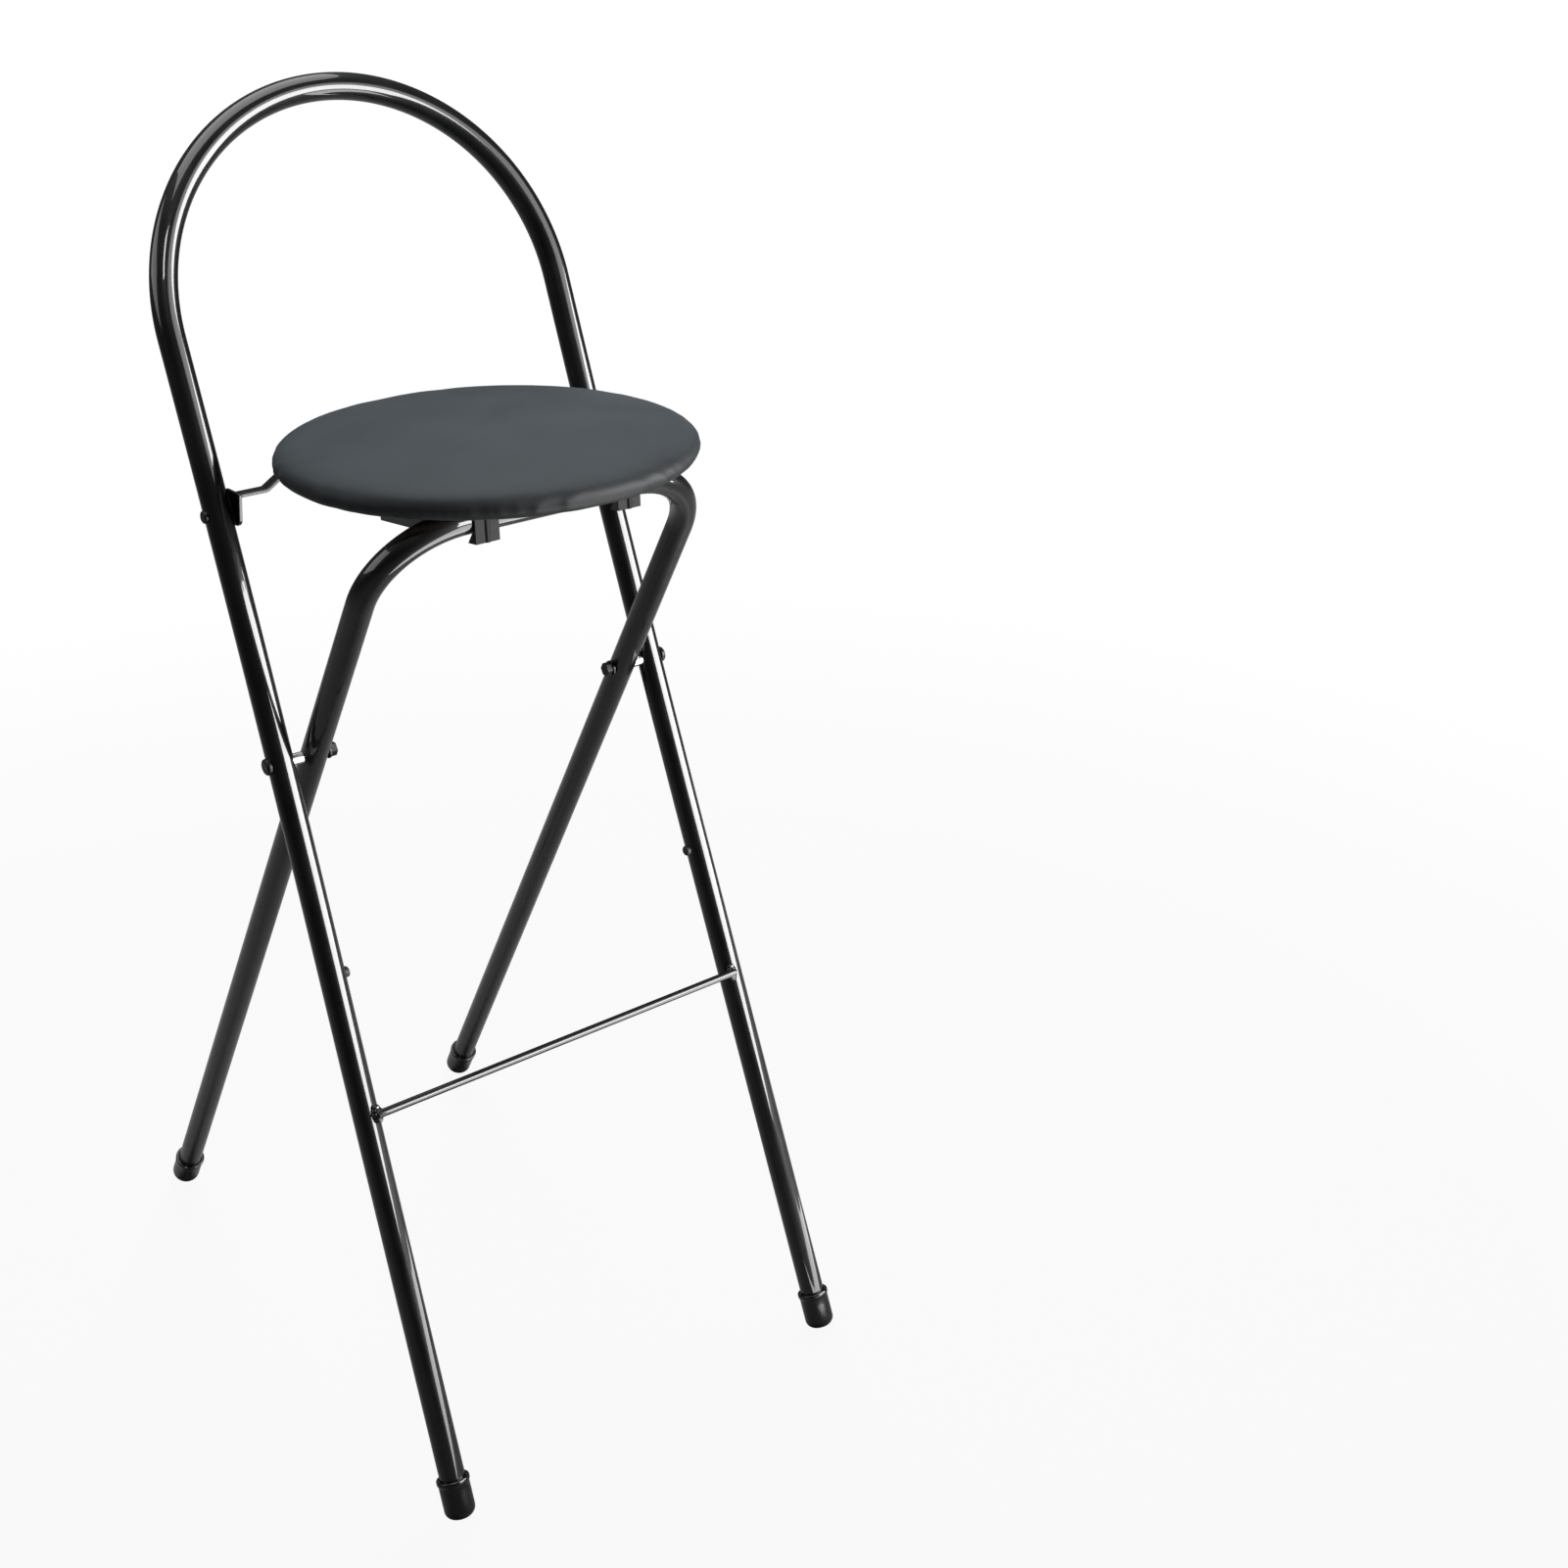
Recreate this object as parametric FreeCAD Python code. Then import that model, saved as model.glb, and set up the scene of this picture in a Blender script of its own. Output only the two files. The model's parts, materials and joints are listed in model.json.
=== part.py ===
"""Folding bar stool: looped main frame, scissor rear legs and a padded round seat.

Millimetres. Z is up, the stool faces -Y, and left is -X. The floor is z = 0.
The stool is drawn with the front feet's centreline at y = 0 and moved at the end,
so that the origin lies at the bottom centre of its bounding box.
"""
import math
import os

import FreeCAD
import Part

V = FreeCAD.Vector

# Bent tubes
TUBE_D = 19.0            # outer diameter of both frames
TUBE_WALL = 1.5
MAIN_LEAN = 20.5         # degrees the main frame leans back
REAR_LEAN = 31.6         # degrees the rear legs lean forward
FOOT_SPREAD = 525.0      # front feet to rear feet along the floor
LOOP_R = 154.8           # centreline radius of the back loop
SHOULDER_U = 862.5       # floor to the loop's centre, along the main frame
KNEE_U = 428.0           # floor to the start of the slow bend, along the main frame
MAIN_TOE = 1.42          # degrees the front legs spread
REAR_TOE = 1.05          # degrees the rear legs spread
CORNER_R = 63.0          # bend of the crossbar's ends

# Seat
SEAT_TOP = 755.7         # top of the crown
SEAT_TILT = 1.04         # degrees the seat's front stands up at rest
PAD_T = 19.1             # board to crown
RIM_R = 12.0             # upper edge of the cushion
RIM_UNDER = 7.0          # lower edge, where the side draws in under the widest line
PAD_SIDE_GAP = 1.1       # cushion to the back loop when folded
BOARD_T = 9.0
BOARD_INSET = 11.2       # board's edge inside the cushion's side
SEAT_AHEAD = 103.0       # seat centre ahead of the seat hinge
HINGE_DROP = 30.7        # board's underside down to the seat hinge

# Folding
FOLD = 51.0              # rear legs' travel in degrees
SEAT_PER_FOLD = 1.95     # seat degrees for each degree of fold

# Guide rails
RAIL_SHARE = 0.42        # rail centre from the middle, as a share of the board's radius
RAIL_W = 18.0
RAIL_T = 1.5             # sheet thickness
RAIL_FRONT_DROP = 25.4   # board's underside to the hook's lower end
RAIL_REAR_DROP = 38.6    # board's underside to the rail's rear lower corner
RAIL_REAR_S = 62.0       # rear end ahead of the seat hinge
NOTCH_GAP = 0.4          # crossbar to the notch's wall
REST_GAP = 0.3           # crossbar to the rail's web at rest
NOTCH_TURN = 12          # degrees of fold that the notch follows
NOTCH_STEP = 3
BEAD_W = 6.0             # pressed bead down the hook's face
BEAD_H = 0.8

# Pivots
SPACER_L = 6.9           # gap between the two frames at the scissor pivot
SPACER_D = 8.5
BOLT_D = 6.0
HEAD_D = 12.0
HEAD_T = 2.8
WASHER_D = 12.0
WASHER_T = 1.2
NUT_D = 10.6
NUT_T = 5.0
RIVET_D = 5.0
RIVET_HEAD_D = 9.0
RIVET_HEAD_T = 1.8
BORE_GAP = 0.05          # running clearance round a pin
SIDE_GAP = 0.2           # running clearance beside a turning tube
BITE = 0.6               # depth of a saddle seat on a round tube

# Hinge strap and its ears
STRAP_T = 2.5            # sheet thickness of strap and ears
STRAP_W = 10.0
STRAP_FRONT = 15.0       # front edges of strap and ears ahead of the hinge
STRAP_H = 15.2           # top of the strap's ends above the hinge
STRAP_KNEE_IN = 19.7     # ear's inner face to where the strap starts to rise
STRAP_RISE = 32.0        # degrees of the rise
STRAP_BEND_R = 3.0       # inside radius of the bends
EAR_GAP = 0.6            # ear to the main tube's side
EAR_BACK = 11.0
EAR_LOW = 9.0            # below the hinge
EAR_DRAW_BACK = 4.5      # lower end of the ear's front edge behind its upper end
EAR_ROUND = 7.0

# Screws
SCREW_D = 4.0
SCREW_HEAD_D = 7.6
SCREW_HEAD_T = 2.2
SCREW_BITE = 6.5         # screw's length in the board
STRAP_SCREW_EDGE = 13.0  # board's edge to the strap's outer screw, along the strap
STRAP_SCREW_STEP = 32.0  # outer screw to inner screw
RAIL_SCREW_REAR = 0.14   # rear screw, as a share of the way from the rail's end to the crossbar
RAIL_SCREW_FRONT = 0.75

# Footrest
FOOTREST_Z = 290.0       # where the rod crosses the front legs
FOOTREST_D = 6.0
FOOTREST_END_IN = 3.2    # rod's end inside the leg's centreline
FOOTREST_ROUND = 0.8
WELD_L = 14.0
WELD_W = 9.0
WELD_T = 5.5
WELD_ROUND = 1.8

# Foot caps
CAP_D = 23.0
CAP_L = 31.0
COLLAR_D = 24.6
COLLAR_T = 3.0
CAP_ROUND = 7.0
CAP_FLAT = 1.2           # how much the floor cuts off the rounded end
CAP_FLOOR = 5.0          # solid floor below the tube's end

# Bumpers
BUMPER_Z = 386.0
BUMPER_D = 8.0
BUMPER_H = 3.0

HEAD_ROUND = 0.55        # rounding of button heads, as a share of their height

FINE = 0.02              # measuring accuracy of the foot caps' reach
TINY = 1e-6

# Derived values
TUBE_R = TUBE_D / 2
BORE_R = TUBE_R - TUBE_WALL
PAD_R = LOOP_R - TUBE_R - PAD_SIDE_GAP
BOARD_R = PAD_R - BOARD_INSET
RAIL_X = BOARD_R * RAIL_SHARE
STACK = HINGE_DROP + BOARD_T + PAD_T


def sin(degrees):
    return math.sin(math.radians(degrees))


def cos(degrees):
    return math.cos(math.radians(degrees))


def tan(degrees):
    return math.tan(math.radians(degrees))


PIVOT_Z = FOOT_SPREAD / (tan(MAIN_LEAN) + tan(REAR_LEAN))
PIVOT_Y = PIVOT_Z * tan(MAIN_LEAN)
HINGE_Z = SEAT_TOP - SEAT_AHEAD * sin(SEAT_TILT) - STACK * cos(SEAT_TILT)
HINGE_Y = HINGE_Z * tan(MAIN_LEAN)
SEAT_Y = HINGE_Y - SEAT_AHEAD
BOARD_LOW = HINGE_Z + HINGE_DROP
BOARD_TOP = BOARD_LOW + BOARD_T
PAD_TOP = BOARD_TOP + PAD_T


def crossbar_rest():
    """Crossbar's y and z with the rails' webs resting on it, in the rear frame's plane."""
    h = HINGE_DROP - RAIL_T - REST_GAP - TUBE_R
    slope = tan(REAR_LEAN)
    across = FOOT_SPREAD - HINGE_Z * slope - HINGE_Y - h * (cos(SEAT_TILT) * slope + sin(SEAT_TILT))
    s = across / (sin(SEAT_TILT) * slope - cos(SEAT_TILT))
    z = HINGE_Z + s * sin(SEAT_TILT) + h * cos(SEAT_TILT)
    return FOOT_SPREAD - z * slope, z


CROSSBAR_Y, CROSSBAR_Z = crossbar_rest()
SLOW_R = (SHOULDER_U - KNEE_U) / sin(MAIN_TOE)


def main_half(u):
    """Half the main frame's width at distance u up its plane."""
    if u >= SHOULDER_U:
        return LOOP_R
    if u >= KNEE_U:
        return LOOP_R + SLOW_R - math.sqrt(SLOW_R ** 2 - (SHOULDER_U - u) ** 2)
    return main_half(KNEE_U) + (KNEE_U - u) * tan(MAIN_TOE)


PIVOT_U = PIVOT_Z / cos(MAIN_LEAN)
PIVOT_X = main_half(PIVOT_U)
REAR_PIVOT_U = PIVOT_Z / cos(REAR_LEAN)
REAR_PIVOT_X = PIVOT_X - TUBE_D - SPACER_L
HINGE_U = HINGE_Z / cos(MAIN_LEAN)
HINGE_X = main_half(HINGE_U)


def rear_half(u):
    """Half the rear frame's width at distance u up its plane."""
    return REAR_PIVOT_X - (u - REAR_PIVOT_U) * tan(REAR_TOE)


def main_at(x, u, out=0.0):
    """Point at x and distance u up the main frame's plane, out in front of it."""
    return V(x, u * sin(MAIN_LEAN) - out * cos(MAIN_LEAN), u * cos(MAIN_LEAN) + out * sin(MAIN_LEAN))


def rear_at(x, u):
    """Point at x and distance u up the rear frame's plane."""
    return V(x, FOOT_SPREAD - u * sin(REAR_LEAN), u * cos(REAR_LEAN))


def seat_at(s, h, x=0.0):
    """Point s ahead of and h above the seat hinge, with the seat drawn level."""
    return V(x, HINGE_Y - s, HINGE_Z + h)


def crossbar_in_seat(fold):
    """Crossbar's centre, ahead of and above the seat hinge, seen from the seat."""
    py, pz = CROSSBAR_Y - PIVOT_Y, CROSSBAR_Z - PIVOT_Z
    y = PIVOT_Y + py * cos(fold) + pz * sin(fold) - HINGE_Y
    z = PIVOT_Z + pz * cos(fold) - py * sin(fold) - HINGE_Z
    turn = fold * SEAT_PER_FOLD + SEAT_TILT
    return -(y * cos(turn) - z * sin(turn)), z * cos(turn) + y * sin(turn)


def line(a, b):
    return Part.LineSegment(a, b).toShape()


def arc(a, middle, b):
    return Part.Arc(a, middle, b).toShape()


def corner(a, c, b, radius):
    """Start, middle and end of the round that joins a-c to c-b."""
    to_a = (a - c).normalize()
    to_b = (b - c).normalize()
    half = to_a.getAngle(to_b) / 2
    reach = radius / math.tan(half)
    inward = (to_a + to_b).normalize() * (radius / math.sin(half) - radius)
    return c + to_a * reach, c + inward, c + to_b * reach


def rod(edges, start, along, radius):
    """Round bar of the given radius swept along joined edges."""
    section = Part.Face(Part.Wire(Part.Circle(start, along, radius).toShape()))
    return Part.Wire(edges).makePipe(section)


def pin(x0, x1, centre, radius):
    """Cylinder along X from x0 to x1 through centre's y and z."""
    return Part.makeCylinder(radius, x1 - x0, V(x0, centre.y, centre.z), V(1, 0, 0))


def turned(edges, base, axis):
    """Solid of revolution: a closed outline in the XZ plane turned round axis at base."""
    solid = Part.Face(Part.Wire(edges)).revolve(V(0, 0, 0), V(0, 0, 1), 360)
    if solid.Volume < 0:
        solid.reverse()
    solid.Placement = FreeCAD.Placement(base, FreeCAD.Rotation(V(0, 0, 1), axis))
    return solid


def mirrored(shape):
    return shape.mirror(V(0, 0, 0), V(1, 0, 0))


def cap_end_u(lean):
    """Distance up the leg of a cap's rounded end, set by the floor's cut."""
    low = CAP_ROUND * (cos(lean) - 1) - (CAP_D / 2 - CAP_ROUND) * sin(lean)
    return (-CAP_FLAT - low) / cos(lean)


def tube_end_u(lean):
    return cap_end_u(lean) + CAP_FLOOR


def main_path():
    """Edges of the main frame's centreline, from the left foot to the right."""
    low, knee, shoulder = tube_end_u(MAIN_LEAN), KNEE_U, SHOULDER_U
    middle = (knee + shoulder) / 2
    left = [main_at(-main_half(u), u) for u in (low, knee, middle, shoulder)]
    right = [main_at(main_half(u), u) for u in (low, knee, middle, shoulder)]
    top = main_at(0, SHOULDER_U + LOOP_R)
    edges = [
        line(left[0], left[1]),
        arc(left[1], left[2], left[3]),
        arc(left[3], top, right[3]),
        arc(right[3], right[2], right[1]),
        line(right[1], right[0]),
    ]
    return edges, left[0], left[1] - left[0]


def rear_path():
    """Edges of the rear frame's centreline, from the left foot to the right."""
    low, top = tube_end_u(REAR_LEAN), CROSSBAR_Z / cos(REAR_LEAN)
    foot = rear_at(-rear_half(low), low)
    bend = rear_at(-rear_half(top), top)
    a, m, b = corner(foot, bend, rear_at(0, top), CORNER_R)
    flip = [V(-p.x, p.y, p.z) for p in (foot, a, m, b)]
    edges = [
        line(foot, a),
        arc(a, m, b),
        line(b, flip[3]),
        arc(flip[3], flip[2], flip[1]),
        line(flip[1], flip[0]),
    ]
    return edges, foot, a - foot


def pivot_centre():
    return V(0, PIVOT_Y, PIVOT_Z)


def hinge_centre():
    return V(0, HINGE_Y, HINGE_Z)


def bumper_place():
    u = BUMPER_Z / cos(MAIN_LEAN)
    return main_half(u), main_at(0, u)


def main_frame_tube():
    edges, start, along = main_path()
    tube = rod(edges, start, along, TUBE_R).cut(rod(edges, start, along, BORE_R))
    far = LOOP_R + TUBE_D
    bumper_x, bumper_at = bumper_place()
    holes = [
        pin(-far, far, pivot_centre(), BOLT_D / 2 + BORE_GAP),
        pin(-far, far, hinge_centre(), RIVET_D / 2 + BORE_GAP),
        pin(-bumper_x, bumper_x, bumper_at, BUMPER_D / 4),
    ]
    for hole in holes:
        tube = tube.cut(hole)
    return tube


def rear_leg_tube():
    edges, start, along = rear_path()
    tube = rod(edges, start, along, TUBE_R).cut(rod(edges, start, along, BORE_R))
    return tube.cut(pin(-LOOP_R, LOOP_R, pivot_centre(), BOLT_D / 2 + BORE_GAP))


def right_leg_near(u):
    """Solid bar in the place of the main frame's right leg around u up its plane."""
    a, b = (main_at(main_half(u + step), u + step) for step in (-TUBE_D, TUBE_D))
    return Part.makeCylinder(TUBE_R, (b - a).Length, a, b - a)


def rim_at(shape, x):
    """Edges that lie wholly at x."""
    return [e for e in shape.Edges if max(abs(e.BoundBox.XMin - x), abs(e.BoundBox.XMax - x)) < TINY]


def domed_head(x0, x1, centre, radius):
    """Button head between x0 and x1, rounded on the side away from the middle."""
    head = pin(x0, x1, centre, radius)
    return head.makeFillet((x1 - x0) * HEAD_ROUND, rim_at(head, x1))


def pivot_bolt():
    """Carriage bolt: head on the main tube's outside, thread end past the nut."""
    outer = PIVOT_X + TUBE_R
    inner = REAR_PIVOT_X - TUBE_R - SIDE_GAP - WASHER_T - NUT_T
    head = domed_head(outer - BITE, outer + HEAD_T, pivot_centre(), HEAD_D / 2).cut(right_leg_near(PIVOT_U))
    return head.fuse(pin(inner, outer, pivot_centre(), BOLT_D / 2)).removeSplitter()


def pivot_spacer():
    """Sleeve that keeps the two frames apart, its outer end saddled to the main tube."""
    inner = REAR_PIVOT_X + TUBE_R + SIDE_GAP
    outer = PIVOT_X - TUBE_R + BITE * 2
    sleeve = pin(inner, outer, pivot_centre(), SPACER_D / 2)
    return sleeve.cut(right_leg_near(PIVOT_U)).cut(pin(inner, outer, pivot_centre(), BOLT_D / 2))


def pivot_washer():
    outer = REAR_PIVOT_X - TUBE_R - SIDE_GAP
    disc = pin(outer - WASHER_T, outer, pivot_centre(), WASHER_D / 2)
    return disc.cut(pin(outer - WASHER_T, outer, pivot_centre(), BOLT_D / 2))


def pivot_nut():
    """Hexagon nut on the bolt's inner end."""
    outer = REAR_PIVOT_X - TUBE_R - SIDE_GAP - WASHER_T
    inner = outer - NUT_T
    turns = [60 * i for i in range(7)]
    hexagon = [V(inner, PIVOT_Y + NUT_D / 2 * cos(a), PIVOT_Z + NUT_D / 2 * sin(a)) for a in turns]
    body = Part.Face(Part.makePolygon(hexagon)).extrude(V(NUT_T, 0, 0))
    return body.cut(pin(inner, outer, pivot_centre(), BOLT_D / 2))


def ear_outer():
    return HINGE_X - TUBE_R - EAR_GAP


def ear_inner():
    return ear_outer() - STRAP_T


def hinge_rivet():
    """Rivet through the main tube and the ear, a head at each end."""
    outer = HINGE_X + TUBE_R
    inner = ear_inner() - SIDE_GAP
    head = domed_head(outer - BITE, outer + RIVET_HEAD_T, hinge_centre(), RIVET_HEAD_D / 2)
    head = head.cut(right_leg_near(HINGE_U))
    foot = pin(inner - RIVET_HEAD_T, inner, hinge_centre(), RIVET_HEAD_D / 2)
    shank = pin(inner - RIVET_HEAD_T, outer, hinge_centre(), RIVET_D / 2)
    return head.fuse([foot, shank]).removeSplitter()


def hinge_ear():
    """Plate bent down at the strap's end, turning on the rivet."""
    x0 = ear_inner()
    low = STRAP_FRONT - EAR_DRAW_BACK
    corners = [(STRAP_FRONT, STRAP_H), (-EAR_BACK, STRAP_H), (-EAR_BACK, -EAR_LOW), (low, -EAR_LOW)]
    points = [seat_at(s, h, x0) for s, h in corners]
    plate = Part.Face(Part.makePolygon(points + points[:1])).extrude(V(STRAP_T, 0, 0))
    posts = [e for e in plate.Edges if e.BoundBox.XLength > STRAP_T / 2 and e.Length < STRAP_T + TINY]
    rounded = [e for e in posts if not (e.BoundBox.YMin < HINGE_Y and e.BoundBox.ZMin > HINGE_Z)]
    plate = plate.makeFillet(EAR_ROUND, rounded)
    return plate.cut(pin(x0, x0 + STRAP_T, hinge_centre(), RIVET_D / 2 + BORE_GAP))


def strap_side(drop):
    """Right half of the strap's outline, drop below its upper face: ear, knee, top of the rise."""
    shift = drop * tan(STRAP_RISE / 2)
    knee = ear_inner() - STRAP_KNEE_IN
    high = knee - (HINGE_DROP - STRAP_H) / tan(STRAP_RISE)
    return [(ear_inner(), STRAP_H - drop), (knee - shift, STRAP_H - drop), (high - shift, HINGE_DROP - drop)]


def seat_hinge_strap():
    """Flat strap under the seat's rear, bent down at both ends to the ears."""
    upper, lower = strap_side(0), strap_side(STRAP_T)
    right = upper[::-1] + lower
    left = [(-x, h) for x, h in right[::-1]]
    points = [seat_at(STRAP_FRONT, h, x) for x, h in right + left]
    strap = Part.Face(Part.makePolygon(points + points[:1])).extrude(V(0, STRAP_W, 0))
    inside = [upper[1], lower[2]]
    outside = [upper[2], lower[1]]
    strap = strap.makeFillet(STRAP_BEND_R, bend_edges(strap, inside))
    strap = strap.makeFillet(STRAP_BEND_R + STRAP_T, bend_edges(strap, outside))
    for x in strap_screw_x():
        strap = strap.cut(screw_shank(strap_screw_s(), x, STRAP_T))
        strap = strap.cut(screw_shank(strap_screw_s(), -x, STRAP_T))
    return strap


def bend_edges(strap, places):
    """The strap's edges along Y at the given (x, h) places, on both sides."""
    found = []
    for edge in strap.Edges:
        box = edge.BoundBox
        x, h = abs(box.XMin), box.ZMin - HINGE_Z
        near = [p for p in places if abs(p[0] - x) < TINY and abs(p[1] - h) < TINY]
        if near and abs(box.YLength - STRAP_W) < TINY:
            found.append(edge)
    return found


def strap_screw_s():
    return STRAP_FRONT - STRAP_W / 2


def strap_screw_x():
    """The strap's outer and inner screw, in from the board's edge above the strap."""
    outer = math.sqrt(BOARD_R ** 2 - (SEAT_AHEAD - strap_screw_s()) ** 2) - STRAP_SCREW_EDGE
    return outer, outer - STRAP_SCREW_STEP


def screw_shank(s, x, sheet):
    """Shank from under a sheet of the given thickness up into the board."""
    return Part.makeCylinder(SCREW_D / 2, sheet + SCREW_BITE, seat_at(s, HINGE_DROP - sheet, x))


def screw(s, x, sheet):
    """Pan-head screw driven up through a sheet into the board."""
    foot = seat_at(s, HINGE_DROP - sheet - SCREW_HEAD_T, x)
    head = Part.makeCylinder(SCREW_HEAD_D / 2, SCREW_HEAD_T, foot)
    low = min(e.BoundBox.ZMin for e in head.Edges)
    rim = [e for e in head.Edges if e.BoundBox.ZMax - low < TINY]
    head = head.makeFillet(SCREW_HEAD_T * HEAD_ROUND, rim)
    return head.fuse(screw_shank(s, x, sheet)).removeSplitter()


def capsule(a, b, radius, x0, x1):
    """Space a round bar needs between seat points a and b."""
    (s0, h0), (s1, h1) = a, b
    length = math.hypot(s1 - s0, h1 - h0)
    ns, nh = (h1 - h0) / length * radius, -(s1 - s0) / length * radius
    ring = [(s0 + ns, h0 + nh), (s1 + ns, h1 + nh), (s1 - ns, h1 - nh), (s0 - ns, h0 - nh)]
    points = [seat_at(s, h, x0) for s, h in ring]
    box = Part.Face(Part.makePolygon(points + points[:1])).extrude(V(x1 - x0, 0, 0))
    return box.fuse(pin(x0, x1, seat_at(s1, h1), radius))


def notch(x0, x1):
    """Space the crossbar sweeps as it leaves the rail."""
    radius = TUBE_R + NOTCH_GAP
    stops = [crossbar_in_seat(fold) for fold in range(0, NOTCH_TURN + 1, NOTCH_STEP)]
    space = pin(x0, x1, seat_at(*stops[0]), radius)
    for a, b in zip(stops, stops[1:]):
        space = space.fuse(capsule(a, b, radius, x0, x1))
    web = Part.makeBox(x1 - x0, TUBE_D * 2, RAIL_T, seat_at(stops[0][0] + TUBE_D, HINGE_DROP - RAIL_T, x0))
    return space.cut(web)


def rail_front_s():
    """The hook's front face ahead of the hinge."""
    return crossbar_in_seat(0)[0] + TUBE_R + NOTCH_GAP + RAIL_T


def rail_screw_s():
    """The rail's two screws, ahead of the hinge."""
    run = crossbar_in_seat(0)[0] - RAIL_REAR_S
    return RAIL_REAR_S + run * RAIL_SCREW_REAR, RAIL_REAR_S + run * RAIL_SCREW_FRONT


def guide_rail():
    """Pressed channel: web on the board, hook ahead of the crossbar, tapered sides."""
    x0, x1 = RAIL_X - RAIL_W / 2, RAIL_X + RAIL_W / 2
    front, top = rail_front_s(), HINGE_DROP
    rear = RAIL_REAR_S
    side = [(front, top), (rear, top), (rear, top - RAIL_REAR_DROP), (front, top - RAIL_FRONT_DROP)]
    points = [seat_at(s, h, x0) for s, h in side]
    body = Part.Face(Part.makePolygon(points + points[:1])).extrude(V(RAIL_W, 0, 0))
    depth = RAIL_REAR_DROP * 2
    inside = seat_at(front - RAIL_T, top - RAIL_T - depth, x0 + RAIL_T)
    hollow = Part.makeBox(RAIL_W - RAIL_T * 2, front - rear, depth, inside)
    rail = body.cut(hollow).cut(notch(x0, x1))
    bead_foot = seat_at(front + BEAD_H - BEAD_W / 2, top - RAIL_FRONT_DROP, RAIL_X)
    bead = Part.makeCylinder(BEAD_W / 2, RAIL_FRONT_DROP, bead_foot)
    behind = Part.makeBox(RAIL_W, BEAD_W, RAIL_FRONT_DROP, seat_at(front, top - RAIL_FRONT_DROP, x0))
    rail = rail.fuse(bead.cut(behind)).removeSplitter()
    for s in rail_screw_s():
        rail = rail.cut(screw_shank(s, RAIL_X, RAIL_T))
    return rail


def seat_pad():
    """Cushion with a crowned top and a side that draws in to the board."""
    wide_z = BOARD_LOW + RIM_UNDER
    rise = PAD_TOP - wide_z
    rim_r = PAD_R - RIM_R
    dome_r = (rim_r ** 2 + rise ** 2 - RIM_R ** 2) / (2 * (rise - RIM_R))
    lean = math.degrees(math.asin(rim_r / (dome_r - RIM_R)))
    top, wide = V(0, 0, PAD_TOP), V(PAD_R, 0, wide_z)
    crown_mid = V(dome_r * sin(lean / 2), 0, PAD_TOP - dome_r * (1 - cos(lean / 2)))
    crown_end = V(rim_r + RIM_R * sin(lean), 0, wide_z + RIM_R * cos(lean))
    rim_turn = (90 + lean) / 2
    rim_mid = V(rim_r + RIM_R * sin(rim_turn), 0, wide_z + RIM_R * cos(rim_turn))
    under = V(PAD_R - RIM_UNDER, 0, BOARD_LOW)
    under_mid = V(under.x + RIM_UNDER * cos(45), 0, wide_z - RIM_UNDER * sin(45))
    edges = [
        arc(top, crown_mid, crown_end),
        arc(crown_end, rim_mid, wide),
        arc(wide, under_mid, under),
        line(under, V(BOARD_R, 0, BOARD_LOW)),
        line(V(BOARD_R, 0, BOARD_LOW), V(BOARD_R, 0, BOARD_TOP)),
        line(V(BOARD_R, 0, BOARD_TOP), V(0, 0, BOARD_TOP)),
        line(V(0, 0, BOARD_TOP), top),
    ]
    return turned(edges, V(0, SEAT_Y, 0), V(0, 0, 1))


def seat_board():
    """Round board with blind holes for the screws."""
    board = Part.makeCylinder(BOARD_R, BOARD_T, V(0, SEAT_Y, BOARD_LOW))
    for x in (-1, 1):
        for s in rail_screw_s():
            board = board.cut(screw_shank(s, x * RAIL_X, RAIL_T))
        for away in strap_screw_x():
            board = board.cut(screw_shank(strap_screw_s(), x * away, STRAP_T))
    return board


def footrest_u():
    return FOOTREST_Z / cos(MAIN_LEAN)


def footrest_out():
    return TUBE_R + FOOTREST_D / 2


def footrest_half():
    return main_half(footrest_u()) - FOOTREST_END_IN


def footrest_rod():
    """Rod across the front of the legs, its ends slightly rounded."""
    start = main_at(-footrest_half(), footrest_u(), footrest_out())
    bar = Part.makeCylinder(FOOTREST_D / 2, footrest_half() * 2, start, V(1, 0, 0))
    rims = rim_at(bar, start.x) + rim_at(bar, -start.x)
    return bar.makeFillet(FOOTREST_ROUND, rims)


def footrest_weld():
    """Weld bead between the rod's end and the right leg."""
    u = footrest_u()
    x0 = footrest_half() - WELD_W / 2
    bead = Part.makeBox(WELD_W, WELD_T, WELD_L, V(0, -WELD_T / 2, -WELD_L / 2))
    bead = bead.makeFillet(WELD_ROUND, bead.Edges)
    bead.Placement = FreeCAD.Placement(
        main_at(x0, u, TUBE_R - WELD_T / 2 + FOOTREST_D / 2), FreeCAD.Rotation(V(1, 0, 0), -MAIN_LEAN))
    return largest(bead.cut(right_leg_near(u)).cut(footrest_rod()))


def largest(shape):
    return max(shape.Solids, key=lambda solid: solid.Volume)


def cap_outline(lean):
    """(r, z) outline of a foot cap with its rounded end at z = 0."""
    r, bore = CAP_D / 2, TUBE_R
    collar = COLLAR_D / 2
    lip = CAP_L - COLLAR_T
    round_mid = V(r - CAP_ROUND * (1 - cos(45)), 0, CAP_ROUND * (1 - sin(45)))
    points = [V(p[0], 0, p[1]) for p in (
        (r, CAP_ROUND), (r, lip), (collar, lip + (collar - r)), (collar, CAP_L), (bore, CAP_L),
        (bore, CAP_FLOOR), (0, CAP_FLOOR), (0, 0), (r - CAP_ROUND, 0))]
    edges = [line(a, b) for a, b in zip(points, points[1:])]
    return edges + [arc(points[-1], round_mid, points[0])]


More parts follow.
